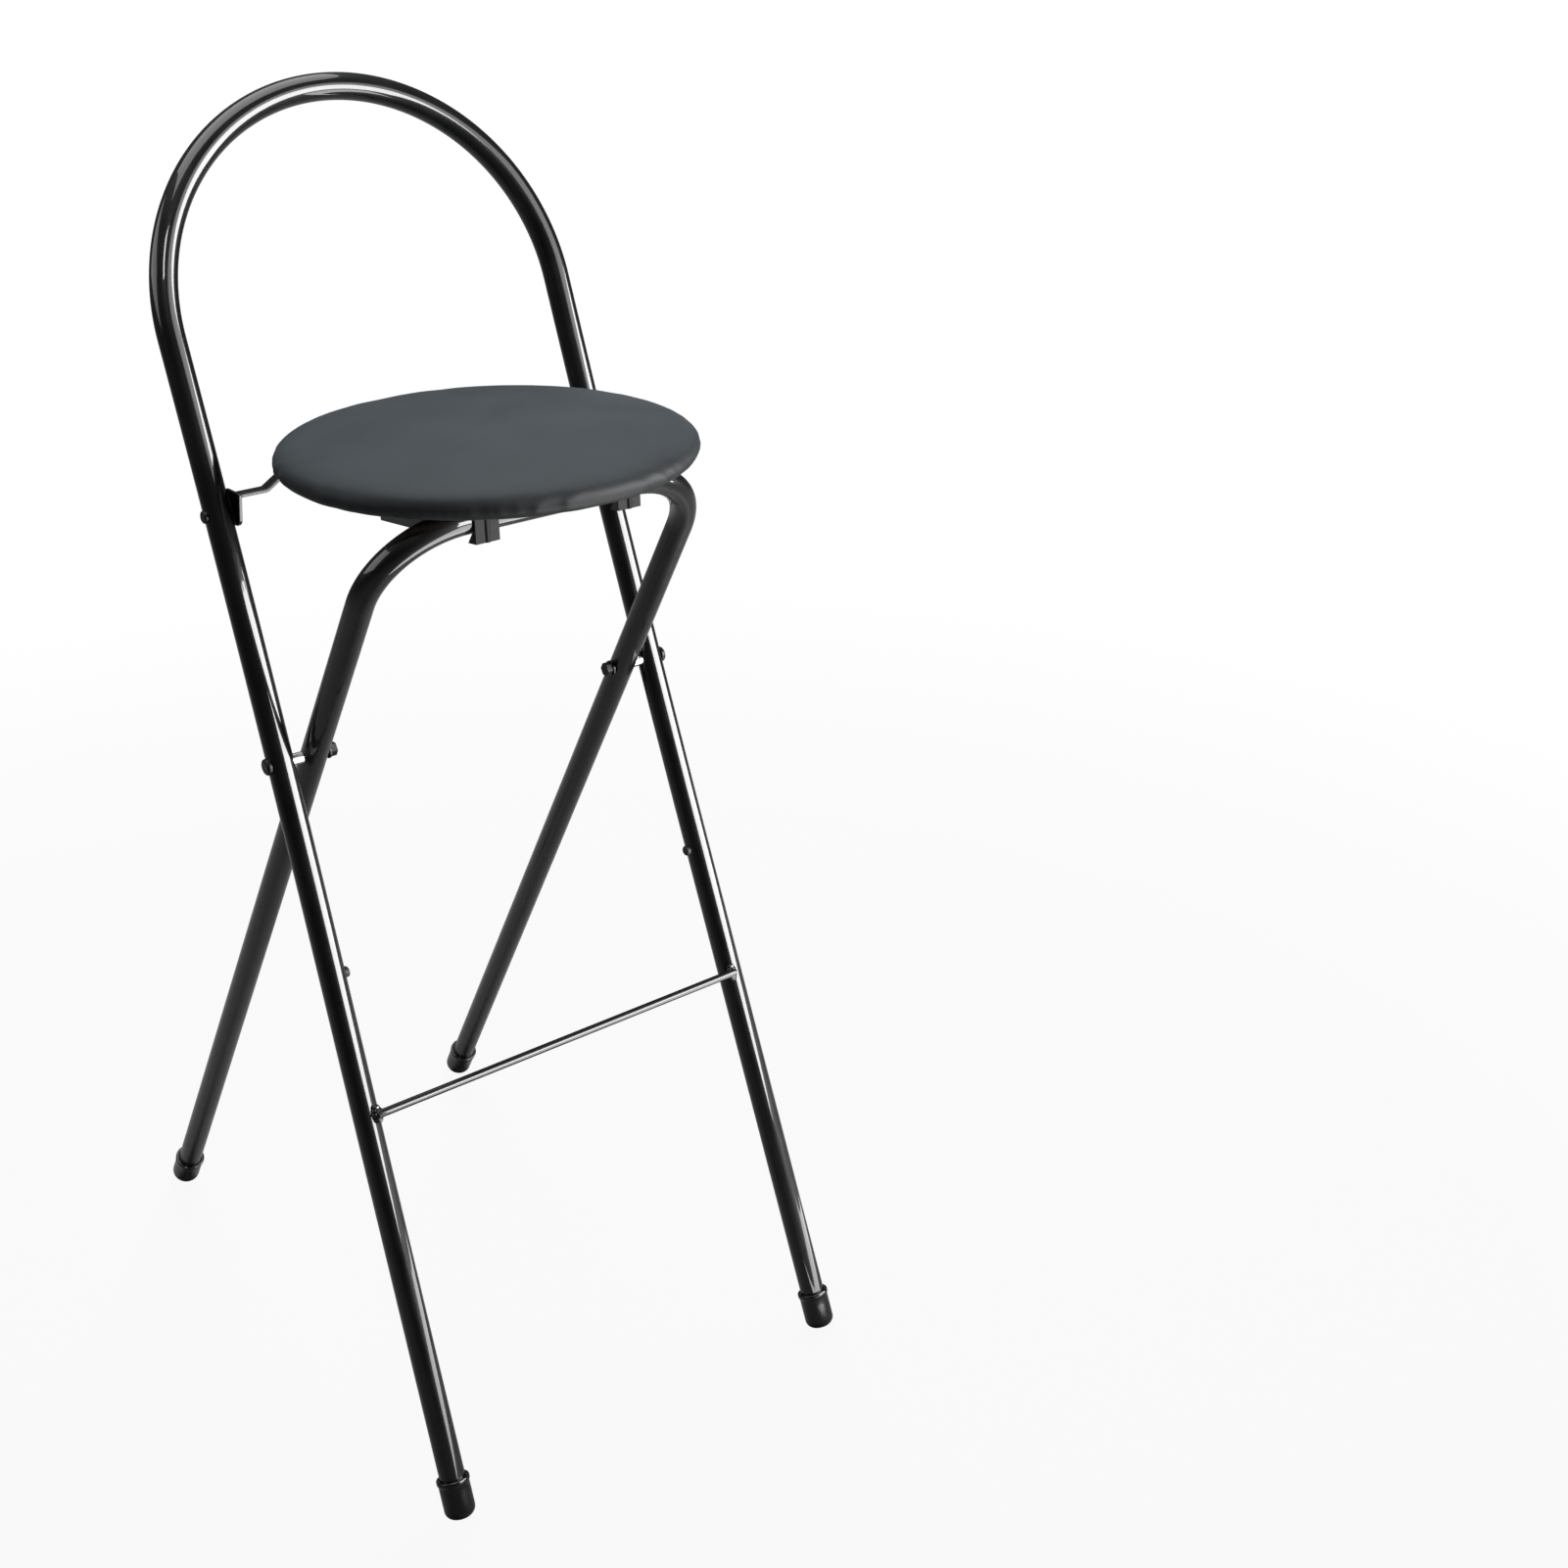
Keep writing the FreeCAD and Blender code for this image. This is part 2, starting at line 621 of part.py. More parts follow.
def foot_cap(foot, up, lean):
    """Moulded cap on a leg, cut flat by the floor."""
    cap = turned(cap_outline(lean), foot, up)
    floor = Part.makeBox(CAP_D * 3, CAP_D * 3, CAP_D, V(foot.x - CAP_D * 1.5, foot.y - CAP_D * 1.5, -CAP_D))
    return cap.cut(floor)


def front_foot_cap():
    u = cap_end_u(MAIN_LEAN)
    foot = main_at(main_half(u), u)
    return foot_cap(foot, main_at(main_half(KNEE_U), KNEE_U) - foot, MAIN_LEAN)


def rear_foot_cap():
    u = cap_end_u(REAR_LEAN)
    foot = rear_at(rear_half(u), u)
    return foot_cap(foot, rear_at(REAR_PIVOT_X, REAR_PIVOT_U) - foot, REAR_LEAN)


def leg_bumper():
    """Button on the leg's inner side, its stem in the tube's wall."""
    x, place = bumper_place()
    inner = x - TUBE_R - BUMPER_H
    head = pin(inner, x - TUBE_R + BITE, place, BUMPER_D / 2)
    head = head.makeFillet(BUMPER_H * HEAD_ROUND, rim_at(head, inner))
    head = head.cut(right_leg_near(BUMPER_Z / cos(MAIN_LEAN)))
    stem = pin(inner + BUMPER_H / 2, x - BORE_R, place, BUMPER_D / 4)
    return head.fuse(stem).removeSplitter()


def frame_pairs():
    """Pieces of the two frames' right side that have a twin on the left."""
    found = {
        "pivot_bolt": pivot_bolt(),
        "pivot_spacer": pivot_spacer(),
        "pivot_washer": pivot_washer(),
        "pivot_nut": pivot_nut(),
        "hinge_rivet": hinge_rivet(),
        "footrest_weld": footrest_weld(),
        "front_foot_cap": front_foot_cap(),
        "rear_foot_cap": rear_foot_cap(),
        "leg_bumper": leg_bumper(),
    }
    return with_twins(found)


def seat_pairs():
    """Pieces of the seat's right side that have a twin on the left."""
    found = {"hinge_ear": hinge_ear(), "guide_rail": guide_rail()}
    for place, s in zip(("rear", "front"), rail_screw_s()):
        found[place + "_rail_screw"] = screw(s, RAIL_X, RAIL_T)
    for place, x in zip(("outer", "inner"), strap_screw_x()):
        found[place + "_strap_screw"] = screw(strap_screw_s(), x, STRAP_T)
    return with_twins(found)


def with_twins(found):
    nodes = {}
    for name, shape in found.items():
        nodes["right_" + name] = shape
        nodes["left_" + name] = mirrored(shape)
    return nodes


def frame_nodes():
    nodes = {
        "main_frame_tube": main_frame_tube(),
        "rear_leg_tube": rear_leg_tube(),
        "footrest_rod": footrest_rod(),
    }
    nodes.update(frame_pairs())
    return nodes


def seat_nodes():
    """The seat's pieces, tilted about the seat hinge to their place at rest."""
    nodes = {"seat_pad": seat_pad(), "seat_board": seat_board(), "seat_hinge_strap": seat_hinge_strap()}
    nodes.update(seat_pairs())
    for shape in nodes.values():
        shape.rotate(hinge_centre(), V(-1, 0, 0), SEAT_TILT)
    return nodes


def all_nodes():
    nodes = frame_nodes()
    nodes.update(seat_nodes())
    return nodes


def centring(nodes):
    """Move along Y that puts the bounding box's middle over the origin."""
    caps = [shape for name, shape in nodes.items() if name.endswith("foot_cap")]
    reach = [point.y for cap in caps for point in cap.tessellate(FINE)[0]]
    return V(0, -(min(reach) + max(reach)) / 2, 0)


def main():
    os.makedirs("parts", exist_ok=True)
    nodes = all_nodes()
    move = centring(nodes)
    for name, shape in nodes.items():
        shape.translate(move)
        shape.exportStep("parts/" + name + ".step")


if __name__ == "__main__":
    main()
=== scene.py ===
"""Folding bar stool: gloss black tube frame, round padded seat, pale studio."""
import json
import math

import bpy
import numpy as np
from mathutils import Euler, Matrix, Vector


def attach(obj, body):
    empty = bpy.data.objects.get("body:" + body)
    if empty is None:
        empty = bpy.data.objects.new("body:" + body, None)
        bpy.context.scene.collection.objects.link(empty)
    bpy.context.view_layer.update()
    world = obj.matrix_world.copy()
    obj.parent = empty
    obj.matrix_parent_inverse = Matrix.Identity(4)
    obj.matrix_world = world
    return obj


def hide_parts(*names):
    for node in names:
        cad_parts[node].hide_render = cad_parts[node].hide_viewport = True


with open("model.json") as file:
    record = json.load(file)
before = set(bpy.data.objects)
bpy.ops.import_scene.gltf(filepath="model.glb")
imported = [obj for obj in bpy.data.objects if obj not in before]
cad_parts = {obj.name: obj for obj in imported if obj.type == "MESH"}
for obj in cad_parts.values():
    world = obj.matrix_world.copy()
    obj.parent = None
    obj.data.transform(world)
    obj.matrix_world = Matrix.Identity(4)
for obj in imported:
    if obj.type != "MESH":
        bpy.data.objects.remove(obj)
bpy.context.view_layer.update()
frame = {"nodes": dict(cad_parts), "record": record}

MM = 0.001

# Tube frames in millimetres; u is the distance up a frame's leaning plane
TUBE_R = 9.5
MAIN_LEAN = math.radians(20.5)
REAR_LEAN = math.radians(31.6)
FEET_FRONT_Y = -261.178
FEET_REAR_Y = 263.822
MAIN_START_U = 6.0
REAR_START_U = 8.0
LOOP_R = 154.8
SHOULDER_U = 862.5
KNEE_U = 428.0
MAIN_TOE = math.radians(1.42)
REAR_TOE = math.radians(1.05)
SLOW_R = (SHOULDER_U - KNEE_U) / math.sin(MAIN_TOE)
PIVOT_Z = 530.7916
PIVOT_U = PIVOT_Z / math.cos(MAIN_LEAN)
REAR_PIVOT_U = PIVOT_Z / math.cos(REAR_LEAN)
CROSSBAR_U = 717.645 / math.cos(REAR_LEAN)
CORNER_R = 63.0
SPACER_L = 6.9
MAIN_OUT = np.array([0, -math.cos(MAIN_LEAN), math.sin(MAIN_LEAN)])

# Seat, measured from its hinge: s ahead of it, h above it
HINGE = np.array([0.0, -1.313, 695.040])
SEAT_TILT = math.radians(1.04)
SEAT_AHEAD = 103.0
BOARD_UP = 30.7
BOARD_T = 9.0
PAD_R = 144.9
PAD_T = 19.1
RIM_R = 12.0
RIM_UNDER = 7.0

# Cushion as cloth: how much smaller it starts, and how far its cover may lift
UNDERSIZE = 0.6
COVER_MOST = 0.5
VOXEL = 5.0
PINNED_UNDER = 1.5
CLOTH_FRAMES = 20

# Hinge strap and ears
SHEET = 2.5
STRAP_S = 10.0
STRAP_W = 10.0
STRAP_H = 15.2
BEND_R = 3.0
EAR_IN = 142.614
KNEE_X = 122.914
RISE_X = 98.109

# Ear outline: s ahead of the hinge, h above it
EAR_SEAM_S = 10.0
EAR_FRONT_S = 15.0
EAR_FOOT_S = 10.5
EAR_REAR_S = -11.0
EAR_LOW_H = -9.0
EAR_CORNER_R = 7.0
EAR_FRONT_R = 0.7
EAR_EDGE = 0.5
STRAP_EDGE = 0.7

# Footrest rod and its weld beads
FOOTREST_U = 290.0 / math.cos(MAIN_LEAN)
FOOTREST_R = 3.0
FOOTREST_SHORT = 3.2
END_ROUND = 0.9
END_REACH = 0.95
WELD_SHORT = 4.6
WELD_ACROSS = 4.4
WELD_ALONG = 7.0
WELD_OUT = 2.9
WELD_LIFT = 0.6

# Foot caps
CAP_R = 11.5
CAP_DOME = 7.0
COLLAR_R = 12.3
CAP_TOP = 31.0
CAP_SUNK = 1.2
REAR_AIM_U = 400.0

# Floor in millimetres, the view in metres
FLOOR_HALF = 30000.0
FLOOR_Z = -0.3
VIEW_AT = (-0.749167, -1.35038, 1.16116)
VIEW_AZ = math.radians(-38.96)
VIEW_EL = math.radians(25.197)
VIEW_LENS = 49.987
VIEW_SENSOR = 36.0

# Looks: heights in metres between which painted shade darkens the vinyl's lower rim, and where the floor
# fades to white
PAINTED_SHADE_FROM = 0.7450
PAINTED_SHADE_TO = 0.7330
FADE_FROM = 0.9
FADE_TO = 1.7
SHARP = math.radians(50.0)
WHITE = (1.0, 1.0, 1.0, 1.0)
RAYS = ("Is Camera Ray", "Is Glossy Ray", "Is Transmission Ray")
FLOOR_WHITE = 0.93
GLOSSY_WHITE = 0.02


class Sock:
    """An output socket; each operator adds the Math node that works it out."""

    def __init__(self, tree, socket):
        self.tree = tree
        self.socket = socket

    def _op(self, operation, a, b, clamp=False):
        return self.tree.node("Math", {"operation": operation, "use_clamp": clamp}, {0: a, 1: b})

    def __add__(self, other):
        return self._op("ADD", self, other)

    def __radd__(self, other):
        return self._op("ADD", other, self)

    def __sub__(self, other):
        return self._op("SUBTRACT", self, other)

    def __rsub__(self, other):
        return self._op("SUBTRACT", other, self)

    def __mul__(self, other):
        return self._op("MULTIPLY", self, other)

    def __rmul__(self, other):
        return self._op("MULTIPLY", other, self)

    def clip(self):
        return self._op("ADD", self, 0.0, True)


class Tree:
    """A node tree in the making: node() adds one node, settings first, then its sockets."""

    def __init__(self, owner):
        owner.use_nodes = True
        self.owner = owner
        self.nodes = owner.node_tree.nodes
        self.links = owner.node_tree.links
        self.nodes.clear()

    def node(self, kind, settings=None, inputs=None, output=0):
        node = self.nodes.new("ShaderNode" + kind)
        for key, value in (settings or {}).items():
            if key == "stops":
                self.set_stops(node.color_ramp, value)
            else:
                setattr(node, key, value)
        for key, value in (inputs or {}).items():
            if isinstance(value, Sock):
                self.links.new(value.socket, node.inputs[key])
            else:
                node.inputs[key].default_value = value
        return Sock(self, node.outputs[output]) if node.outputs else node

    @staticmethod
    def set_stops(ramp, stops):
        while len(ramp.elements) < len(stops):
            ramp.elements.new(0.5)
        for point, (at, colour) in zip(ramp.elements, stops):
            point.position = at
            point.color = colour

    def place(self):
        return self.node("TexCoord", output="Object")

    def parts(self, where):
        """The x, y and z of a place."""
        return [self.node("SeparateXYZ", {}, {0: where}, axis) for axis in "XYZ"]

    def stretched(self, where, scale):
        return self.node("Mapping", {}, {"Vector": where, "Scale": scale})

    def noise(self, where, scale, detail=3.0, rough=0.5):
        inputs = {"Vector": where, "Scale": scale, "Detail": detail, "Roughness": rough}
        return self.node("TexNoise", {}, inputs)

    def span(self, value, low, high, to_low=0.0, to_high=1.0):
        """Value from low..high carried to to_low..to_high and held there."""
        inputs = {"Value": value, "From Min": low, "From Max": high, "To Min": to_low, "To Max": to_high}
        return self.node("MapRange", {}, inputs)

    def mix(self, share, a, b):
        """Colour a turned into colour b by share."""
        a, b = ((*c, 1.0) if isinstance(c, tuple) else c for c in (a, b))
        return self.node("Mix", {"data_type": "RGBA"}, {0: share, 6: a, 7: b}, 2)

    def bump(self, height, distance, strength, under=None):
        inputs = {"Height": height, "Distance": distance, "Strength": strength}
        if under is not None:
            inputs["Normal"] = under
        return self.node("Bump", {}, inputs)

    def surface(self, inputs):
        """Principled surface with these inputs, joined to the output."""
        self.node("OutputMaterial", {}, {"Surface": self.node("BsdfPrincipled", {}, inputs)})
        return self.owner


def new_tree(name):
    return Tree(bpy.data.materials.new(name))


def gloss_paint():
    """Thick gloss black: deep base, clear top coat, faint orange peel, dust and hairline rubs."""
    t = new_tree("gloss_black_paint")
    where = t.place()
    cloud = t.noise(where, 35.0, 2.0)
    peel = t.noise(where, 380.0, 2.0, 0.6)
    dust = t.noise(where, 1700.0, 1.0)
    rubs = t.noise(t.stretched(where, (1.0, 1.0, 0.04)), 900.0, 3.0, 0.6)
    base = t.mix(t.span(dust, 0.66, 0.80), (0.0022, 0.0022, 0.0025), (0.012, 0.012, 0.012))
    rough = t.span(cloud, 0.3, 0.7, 0.30, 0.42) + t.span(rubs, 0.62, 0.8, 0.0, 0.12)
    return t.surface({
        "Base Color": base, "Roughness": rough, "Specular IOR Level": 0.15,
        "Coat Weight": 1.0, "Coat Roughness": 0.035, "Normal": t.bump(peel, 0.00002, 0.3)})


def slate_vinyl():
    """Satin upholstery vinyl: pebble grain, soft mottling, and painted shade darkening the lower rim where it
    tucks under.
    """
    t = new_tree("slate_vinyl")
    where = t.place()
    height = t.parts(where)[2]
    mottle = t.noise(where, 20.0, 4.0)
    pebble = t.node(
        "TexVoronoi", {"feature": "SMOOTH_F1"}, {"Vector": where, "Scale": 900.0, "Smoothness": 0.35})
    fine = t.noise(where, 2600.0, 2.0)
    colour = t.mix(t.span(mottle, 0.3, 0.7), (0.040, 0.049, 0.055), (0.049, 0.059, 0.066))
    # painted shade: below these heights the vinyl turns near black, standing in for the shade under the
    # seat's rim
    colour = t.mix(t.span(height, PAINTED_SHADE_FROM, PAINTED_SHADE_TO), colour, (0.012, 0.016, 0.017))
    rough = t.span(mottle, 0.25, 0.75, 0.54, 0.64)
    grain = t.bump(pebble, 0.00012, 0.45, t.bump(fine, 0.00003, 0.3))
    return t.surface({
        "Base Color": colour, "Roughness": rough, "Specular IOR Level": 0.24,
        "Sheen Weight": 0.03, "Normal": grain})


def bright_zinc():
    """Bright zinc plate: cloudy sheen and faint drawing lines."""
    t = new_tree("bright_zinc")
    where = t.place()
    cloud = t.noise(where, 60.0, 4.0)
    lines = t.noise(t.stretched(where, (0.05, 1.0, 1.0)), 1500.0, 2.0)
    base = t.mix(t.span(cloud, 0.3, 0.7), (0.60, 0.60, 0.61), (0.49, 0.49, 0.50))
    rough = t.span(cloud, 0.3, 0.7, 0.20, 0.34)
    return t.surface({
        "Base Color": base, "Metallic": 1.0, "Roughness": rough, "Normal": t.bump(lines, 0.00002, 0.3)})


def black_zinc():
    """Black zinc plate on bolts, nuts, washers and rivets: dull sheen, rubbed lighter in spots."""
    t = new_tree("black_zinc")
    where = t.place()
    cloud = t.noise(where, 240.0, 4.0, 0.6)
    base = t.mix(t.span(cloud, 0.55, 0.8), (0.006, 0.006, 0.007), (0.030, 0.030, 0.032))
    rough = t.span(cloud, 0.3, 0.7, 0.26, 0.42)
    return t.surface({
        "Base Color": base, "Metallic": 0.35, "Roughness": rough, "Specular IOR Level": 0.4,
        "Normal": t.bump(cloud, 0.00003, 0.3)})


def cap_plastic():
    """Moulded black plastic: slightly cloudy gloss, scuffed where it meets the floor."""
    t = new_tree("cap_plastic")
    where = t.place()
    height = t.parts(where)[2]
    cloud = t.noise(where, 160.0, 4.0)
    scuff = t.noise(where, 700.0, 3.0, 0.7)
    worn = (t.span(scuff, 0.5, 0.68) * t.span(height, 0.010, 0.0)).clip()
    base = t.mix(worn, (0.0040, 0.0040, 0.0045), (0.050, 0.048, 0.046))
    rough = t.span(cloud, 0.3, 0.7, 0.20, 0.30) + worn * 0.35
    return t.surface({
        "Base Color": base, "Roughness": rough, "Specular IOR Level": 0.3,
        "Coat Weight": 0.6, "Coat Roughness": 0.10, "Normal": t.bump(cloud, 0.0001, 0.2)})


def birch_ply():
    """Birch plywood: growth figure on the face with fine fibres."""
    t = new_tree("birch_ply")
    where = t.place()
    figure = t.noise(t.stretched(where, (1.0, 0.12, 1.0)), 26.0, 5.0)
    fibre = t.noise(t.stretched(where, (1.0, 0.04, 1.0)), 420.0, 3.0)
    plies = t.node("TexWave", {"bands_direction": "Z"}, {"Vector": where, "Scale": 110.0, "Distortion": 0.6})
    face = t.mix(figure, (0.46, 0.32, 0.18), (0.60, 0.46, 0.29))
    face = t.mix(t.span(fibre, 0.45, 0.75, 0.0, 0.5), face, (0.34, 0.22, 0.12))
    face = t.mix(plies * 0.18, face, (0.25, 0.16, 0.09))
    return t.surface({"Base Color": face, "Roughness": 0.62, "Normal": t.bump(fibre, 0.0001, 0.4)})


def soft_rubber():
    """Matt black rubber with a fine bloom."""
    t = new_tree("soft_rubber")
    cloud = t.noise(t.place(), 300.0, 3.0)
    base = t.mix(cloud, (0.012, 0.012, 0.012), (0.026, 0.026, 0.027))
    rough = t.span(cloud, 0.3, 0.7, 0.50, 0.70)
    return t.surface({"Base Color": base, "Roughness": rough, "Normal": t.bump(cloud, 0.0001, 0.3)})


def pale_floor():
    """Pale matt floor that keeps the shadow; the camera sees it lifted to white."""
    t = new_tree("pale_floor")
    where = t.place()
    distance = t.node("VectorMath", {"operation": "LENGTH"}, {0: where}, "Value")
    far = t.span(distance, FADE_FROM, FADE_TO)
    matt = t.node("BsdfDiffuse", {}, {"Color": (0.38, 0.38, 0.38, 1.0)})
    glow = t.node("Emission", {}, {"Color": WHITE, "Strength": 1.0})
    seen, mirrored, through = (t.node("LightPath", output=n) for n in RAYS)
    share = (seen * (FLOOR_WHITE + (1.0 - FLOOR_WHITE) * far) + (mirrored + through) * GLOSSY_WHITE).clip()
    t.node("OutputMaterial", {}, {"Surface": t.node("MixShader", {}, {0: share, 1: matt, 2: glow})})
    return t.owner


def dress(obj, mat):
    obj.data.materials.clear()
    obj.data.materials.append(mat)


def mesh_object(name, points, faces, mat, smooth=True):
    """Mesh from an (n, 3) array in millimetres and a list of index tuples."""
    mesh = bpy.data.meshes.new(name)
    mesh.from_pydata((np.asarray(points).reshape(-1, 3) * MM).tolist(), [], faces)
    mesh.polygons.foreach_set("use_smooth", np.full(len(mesh.polygons), smooth))
    mesh.update()
    mesh.set_sharp_from_angle(angle=SHARP)
    obj = bpy.data.objects.new(name, mesh)
    bpy.context.collection.objects.link(obj)
    dress(obj, mat)
    return obj


def grid_faces(rows, around):
    """Quads between rows rings of around points each, and both end faces."""
    i, j = np.meshgrid(np.arange(rows - 1), np.arange(around), indexing="ij")
    k = (j + 1) % around
    quads = np.stack([i * around + j, i * around + k, (i + 1) * around + k, (i + 1) * around + j], -1)
    faces = [tuple(q) for q in quads.reshape(-1, 4).tolist()]
    first = tuple(range(around))[::-1]
    last = tuple(range((rows - 1) * around, rows * around))
    return faces + [first, last]


def unit(v):
    return v / np.linalg.norm(v, axis=-1, keepdims=True)


def turn_angles(around):
    return np.linspace(0, 2 * np.pi, around, endpoint=False)


def swept(name, path, across, section, mat):
    """Bar: at each path point the section's (a, b) pairs, a along the fixed sideways
    direction and b along that direction crossed with the path's tangent."""
    tangent = unit(np.gradient(path, axis=0))
    side = np.broadcast_to(across, path.shape)
    other = unit(np.cross(tangent, side))
    section = np.broadcast_to(section, (len(path),) + section.shape[-2:])
    points = path[:, None] + section[..., :1] * side[:, None] + section[..., 1:] * other[:, None]
    return mesh_object(name, points, grid_faces(len(path), section.shape[1]), mat)


def circle(radius, around=64):
    """Section of one round bar; with an array of radii, one circle for each path point."""
    turn = turn_angles(around)
    ring = np.stack([np.cos(turn), np.sin(turn)], -1)
    return np.asarray(radius, float)[..., None, None] * ring


def fillet(points, radii, steps=9):
    """Open line through 2-D corners, each inner corner replaced by an arc of its radius:
    the arc starts r/tan(half the corner's angle) from the corner and turns about its centre."""
    points = np.asarray(points, float)
    done = [points[:1]]
    for before, at, after, r in zip(points, points[1:], points[2:], radii):
        a, b = unit(before - at), unit(after - at)
        half = math.acos(float(np.clip(a @ b, -1, 1))) / 2
        start, end = at + a * r / math.tan(half), at + b * r / math.tan(half)
        middle = at + unit(a + b) * r / math.sin(half)
        share = np.linspace(0, 1, steps)[:, None]
        sweep = np.pi - 2 * half
        arc = np.sin((1 - share) * sweep) * (start - middle) + np.sin(share * sweep) * (end - middle)
        done.append(middle + arc / math.sin(sweep))
    return np.concatenate(done + [points[-1:]])


def main_half(u):
    """Half the main frame's width at distance u up its plane: straight, then one slow arc."""
    u = np.asarray(u, float)
    slow = LOOP_R + SLOW_R - np.sqrt(SLOW_R ** 2 - np.clip(SHOULDER_U - u, 0, SHOULDER_U - KNEE_U) ** 2)
    return slow + np.clip(KNEE_U - u, 0, None) * math.tan(MAIN_TOE)


def main_at(x, u, out=0.0):
    """Point at x and u up the main frame's plane, out in front of it."""
    x, u, out = np.broadcast_arrays(np.asarray(x, float), np.asarray(u, float), np.asarray(out, float))
    y = FEET_FRONT_Y + u * math.sin(MAIN_LEAN) - out * math.cos(MAIN_LEAN)
    return np.stack([x, y, u * math.cos(MAIN_LEAN) + out * math.sin(MAIN_LEAN)], -1)


def rear_half(u):
    pivot_x = float(main_half(PIVOT_U)) - 2 * TUBE_R - SPACER_L
    return pivot_x - (np.asarray(u, float) - REAR_PIVOT_U) * math.tan(REAR_TOE)


def rear_at(x, u):
    x, u = np.broadcast_arrays(np.asarray(x, float), np.asarray(u, float))
    return np.stack([x, FEET_REAR_Y - u * math.sin(REAR_LEAN), u * math.cos(REAR_LEAN)], -1)


def seat_at(x, s, h):
    """Point s ahead of the seat hinge and h above it, tilted with the seat."""
    x, s, h = np.broadcast_arrays(np.asarray(x, float), np.asarray(s, float), np.asarray(h, float))
    c, d = math.cos(SEAT_TILT), math.sin(SEAT_TILT)
    return HINGE + np.stack([x, -s * c + h * d, h * c + s * d], -1)


def main_frame(mat):
    """Centreline: straight leg, slow arc, half circle of the loop, and back down."""
    u = np.concatenate([np.linspace(MAIN_START_U, KNEE_U, 24), np.linspace(KNEE_U, SHOULDER_U, 40)[1:]])
    turn = np.linspace(0, np.pi, 121)[1:-1]
    x = np.concatenate([-main_half(u), -LOOP_R * np.cos(turn), main_half(u)[::-1]])
    v = np.concatenate([u, SHOULDER_U + LOOP_R * np.sin(turn), u[::-1]])
    return swept("main_frame_look", main_at(x, v), MAIN_OUT, circle(TUBE_R), mat)


def rear_frame(mat):
    """Centreline: straight leg, round corner, crossbar, and its mirror image."""
    top_half = float(rear_half(CROSSBAR_U))
    start = (-float(rear_half(REAR_START_U)), REAR_START_U)
    corners = [start, (-top_half, CROSSBAR_U), (0.0, CROSSBAR_U)]
    left = fillet(corners, [CORNER_R], 41)
    leg = left[0] + (left[1] - left[0]) * np.linspace(0, 1, 40)[:-1, None]
    bar = left[-2] + (left[-1] - left[-2]) * np.linspace(0, 1, 12)[1:, None]
    left = np.concatenate([leg, left[1:-1], bar])
    line = np.concatenate([left, (left * [-1, 1])[-2::-1]])
    across = np.array([0, -math.cos(REAR_LEAN), -math.sin(REAR_LEAN)])
    return swept("rear_frame_look", rear_at(line[:, 0], line[:, 1]), across, circle(TUBE_R), mat)


def footrest(mat):
    """Round bar between the front legs; its radius closes in over the rounded ends."""
    half = float(main_half(FOOTREST_U)) - FOOTREST_SHORT
    end = half - END_ROUND * (1 - np.cos(np.linspace(0, np.pi / 2, 7)))[::-1]
    x = np.concatenate([-end[::-1], np.linspace(-half, half, 60)[2:-2], end])
    past = np.clip(np.abs(x) - (half - END_ROUND), 0, None) / END_REACH
    radius = FOOTREST_R - END_ROUND * (1 - np.sqrt(np.clip(1 - past ** 2, 0, 1)))
    path = main_at(x, FOOTREST_U, TUBE_R + FOOTREST_R)
    return swept("footrest_look", path, MAIN_OUT, circle(radius, 40), mat)


def turned_cap(name, base, up, mat, around=72):
    """Foot cap: a profile of radius over height turned round the leg, rounded below,
    lipped above, and everything under the floor pressed flat onto it."""
    dome = np.linspace(0, np.pi / 2, 14)
    profile = np.concatenate([
        np.stack([(CAP_R - CAP_DOME) + CAP_DOME * np.sin(dome), CAP_DOME - CAP_DOME * np.cos(dome)], -1),
        [[CAP_R, 12], [CAP_R, 20], [CAP_R, 26.2], [CAP_R + 0.1, 26.8], [CAP_R + 0.45, 27.3],
         [COLLAR_R - 0.1, 27.6], [COLLAR_R, 28.2], [COLLAR_R, 30.0], [COLLAR_R - 0.2, 30.6],
         [COLLAR_R - 0.7, CAP_TOP], [TUBE_R + 0.6, CAP_TOP], [TUBE_R, 30.6]],
    ])
    turn = turn_angles(around)
    side = unit(np.cross(up, [0.0, 1.0, 0.0]))
    other = np.cross(up, side)
    ring = np.cos(turn)[:, None] * side + np.sin(turn)[:, None] * other
    points = base + profile[:, 1, None, None] * up + profile[:, 0, None, None] * ring
    points[..., 2] = np.maximum(points[..., 2], 0.0)
    return mesh_object(name, points, grid_faces(len(profile), around), mat)


def cap_end(lean):
    """Distance up the leg of the cap's rounded end, whose lowest point, before it is
    pressed flat, lies CAP_SUNK under the floor."""
    low = CAP_DOME * (math.cos(lean) - 1) - (CAP_R - CAP_DOME) * math.sin(lean)
    return (-CAP_SUNK - low) / math.cos(lean)


def foot_caps(mat):
    for word, side in (("left", -1), ("right", 1)):
        u = cap_end(MAIN_LEAN)
        foot, knee = main_at(side * main_half(u), u), main_at(side * main_half(KNEE_U), KNEE_U)
        name = word + "_front_foot_cap"
        finish(turned_cap(name + "_look", foot, unit(knee - foot), mat), "main_frame", "cap_plastic", name)
        u = cap_end(REAR_LEAN)
        foot, knee = rear_at(side * rear_half(u), u), rear_at(side * rear_half(REAR_AIM_U), REAR_AIM_U)
        name = word + "_rear_foot_cap"
        finish(turned_cap(name + "_look", foot, unit(knee - foot), mat), "rear_frame", "cap_plastic", name)


